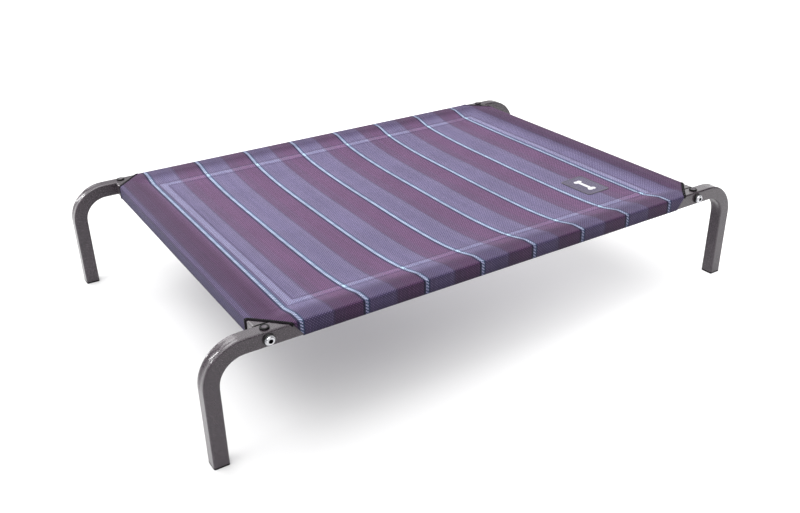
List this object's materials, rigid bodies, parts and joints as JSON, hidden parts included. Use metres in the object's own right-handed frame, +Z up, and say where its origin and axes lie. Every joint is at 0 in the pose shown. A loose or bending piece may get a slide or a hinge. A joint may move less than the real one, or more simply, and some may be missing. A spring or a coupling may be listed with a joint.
{
  "type": "raised pet bed",
  "caption": "Raised pet bed: striped mesh sling stretched in a bolted square-tube frame whose long rails bend down into legs.",
  "frame": {"origin": "on the floor, under the centre of the bed", "axes": "+X along the long side, +Y towards the far side, +Z up"},
  "size_m": [1.096, 0.7218, 0.2026],
  "materials": {
    "powder_coat": "dark grey hammertone powder coat",
    "black_nylon": "moulded black nylon",
    "bolt_steel": "bright zinc plated",
    "plug_plastic": "satin black moulding",
    "foot_rubber": "matt black rubber",
    "striped_mesh": "woven coated-yarn mesh, violet, mauve and pale blue stripes",
    "binding_tape": "black woven edge tape",
    "label_grey": "grey woven patch",
    "label_white": "white satin-stitch embroidery"
  },
  "bodies": {
    "root": {"near_side_rail": "powder_coat", "far_side_rail": "powder_coat", "left_end_rail": "powder_coat", "right_end_rail": "powder_coat", "end_insert_near_left": "black_nylon", "end_insert_near_right": "black_nylon", "end_insert_far_left": "black_nylon", "end_insert_far_right": "black_nylon", "insert_nut_near_left": "bolt_steel", "insert_nut_near_right": "bolt_steel", "insert_nut_far_left": "bolt_steel", "insert_nut_far_right": "bolt_steel", "bolt_washer_near_left": "black_nylon", "bolt_washer_near_right": "black_nylon", "bolt_washer_far_left": "black_nylon", "bolt_washer_far_right": "black_nylon", "corner_bolt_near_left": "bolt_steel", "corner_bolt_near_right": "bolt_steel", "corner_bolt_far_left": "bolt_steel", "corner_bolt_far_right": "bolt_steel", "rail_plug_near_left": "plug_plastic", "rail_plug_near_right": "plug_plastic", "rail_plug_far_left": "plug_plastic", "rail_plug_far_right": "plug_plastic", "foot_near_left": "foot_rubber", "foot_near_right": "foot_rubber", "foot_far_left": "foot_rubber", "foot_far_right": "foot_rubber", "sling_panel": "striped_mesh", "near_sleeve": "striped_mesh", "far_sleeve": "striped_mesh", "left_sleeve": "striped_mesh", "right_sleeve": "striped_mesh", "corner_binding_near_left": "binding_tape", "corner_binding_near_right": "binding_tape", "corner_binding_far_left": "binding_tape", "corner_binding_far_right": "binding_tape", "label_patch": "label_grey", "label_emblem": "label_white"}
  },
  "joints": []
}
